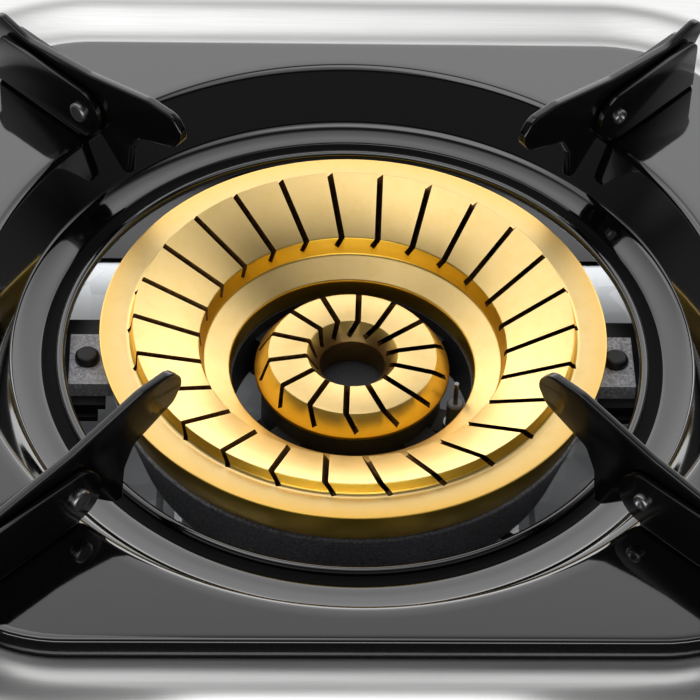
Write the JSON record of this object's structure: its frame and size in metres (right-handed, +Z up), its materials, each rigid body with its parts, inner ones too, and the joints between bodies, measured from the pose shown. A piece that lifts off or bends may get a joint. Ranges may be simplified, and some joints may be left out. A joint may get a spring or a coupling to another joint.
{
  "type": "gas stove",
  "caption": "Low tabletop gas stove with a slotted brass ring burner in a black square drip tray with rocking pan fingers, a push-and-turn tap and a rear hose nozzle.",
  "frame": {"origin": "middle of the underside of its bounding box, on the table", "axes": "+Z up, the tap's knob faces -Y, the hose nozzle points to +Y"},
  "size_m": [0.28, 0.396, 0.1184],
  "materials": {
    "stainless_deck": "satin",
    "black_shell": "satin",
    "galvanised": "matte",
    "black_enamel": "gloss",
    "brass": "satin",
    "iron": "matte",
    "zinc_steel": "satin",
    "aluminium": "matte",
    "black_plastic": "satin",
    "chrome": "gloss",
    "rubber": "matte",
    "ceramic": "gloss"
  },
  "bodies": {
    "stove_body": {"top_panel": "stainless_deck", "body_frame": "black_shell", "front_panel": "stainless_deck", "base_pan": "galvanised", "rubber_feet": "rubber", "foot_screws": "zinc_steel", "base_screws": "zinc_steel", "burner_bracket_left": "galvanised", "burner_bracket_right": "galvanised", "burner_screws": "zinc_steel", "burner_body": "iron", "electrode_insulator": "ceramic", "electrode_pin": "zinc_steel", "electrode_clip": "zinc_steel", "ignition_lead": "rubber", "igniter_unit": "black_plastic", "gas_valve": "aluminium", "valve_bonnet": "brass", "valve_bracket": "black_shell", "valve_screws": "zinc_steel", "injector_outer": "brass", "injector_inner": "brass", "gas_pipe": "zinc_steel", "pipe_nut": "brass", "hose_nozzle": "brass", "hose_nozzle_nut": "zinc_steel", "knob_bezel": "chrome", "return_spring": "zinc_steel"},
    "pan_tray": {"drip_tray": "black_enamel", "finger_bracket_back_right": "black_enamel", "finger_bracket_back_left": "black_enamel", "finger_bracket_front_left": "black_enamel", "finger_bracket_front_right": "black_enamel", "finger_rivet_back_right": "zinc_steel", "finger_rivet_back_left": "zinc_steel", "finger_rivet_front_left": "zinc_steel", "finger_rivet_front_right": "zinc_steel"},
    "finger_back_right": {"pan_finger_back_right": "black_enamel"},
    "finger_back_left": {"pan_finger_back_left": "black_enamel"},
    "finger_front_left": {"pan_finger_front_left": "black_enamel"},
    "finger_front_right": {"pan_finger_front_right": "black_enamel"},
    "outer_cap": {"outer_burner_cap": "brass"},
    "inner_cap": {"inner_burner_cap": "brass"},
    "tap_collar": {"push_collar": "zinc_steel"},
    "tap_knob": {"knob": "black_plastic", "spindle": "zinc_steel"},
    "shutter_outer": {"air_shutter_outer": "zinc_steel"},
    "shutter_inner": {"air_shutter_inner": "zinc_steel"}
  },
  "joints": [
    {"name": "tray_lift", "type": "slide", "parent": "stove_body", "child": "pan_tray", "axis": [0, 0, 1], "range_m": [0, 0.06]},
    {"name": "outer_cap_lift", "type": "slide", "parent": "stove_body", "child": "outer_cap", "axis": [0, 0, 1], "range_m": [0, 0.015]},
    {"name": "inner_cap_lift", "type": "slide", "parent": "stove_body", "child": "inner_cap", "axis": [0, 0, 1], "range_m": [0, 0.03]},
    {"name": "tap_push", "type": "slide", "parent": "stove_body", "child": "tap_collar", "axis": [0, 1, 0], "range_m": [0, 0.0035], "stiffness_N_per_m": 500, "springref_m": -0.003, "deforming": ["return_spring"]},
    {"name": "knob_turn", "type": "hinge", "parent": "tap_collar", "child": "tap_knob", "pos_m": [0, -0.18, 0.048], "axis": [0, -1, 0], "range_deg": [0, 180]},
    {"name": "shutter_turn_outer", "type": "hinge", "parent": "stove_body", "child": "shutter_outer", "pos_m": [0.017, -0.112, 0.048], "axis": [0, 1, 0], "range_deg": [0, 50]},
    {"name": "shutter_turn_inner", "type": "hinge", "parent": "stove_body", "child": "shutter_inner", "pos_m": [-0.017, -0.112, 0.048], "axis": [0, 1, 0], "range_deg": [0, 50]},
    {"name": "finger_rock_back_right", "type": "hinge", "parent": "pan_tray", "child": "finger_back_right", "pos_m": [0.06958, 0.10058, 0.1014], "axis": [-0.7071, 0.7071, 0], "range_deg": [0, 12]},
    {"name": "finger_rock_back_left", "type": "hinge", "parent": "pan_tray", "child": "finger_back_left", "pos_m": [-0.06958, 0.10058, 0.1014], "axis": [-0.7071, -0.7071, 0], "range_deg": [0, 12]},
    {"name": "finger_rock_front_left", "type": "hinge", "parent": "pan_tray", "child": "finger_front_left", "pos_m": [-0.06958, -0.03858, 0.1014], "axis": [0.7071, -0.7071, 0], "range_deg": [0, 12]},
    {"name": "finger_rock_front_right", "type": "hinge", "parent": "pan_tray", "child": "finger_front_right", "pos_m": [0.06958, -0.03858, 0.1014], "axis": [0.7071, 0.7071, 0], "range_deg": [0, 12]}
  ]
}
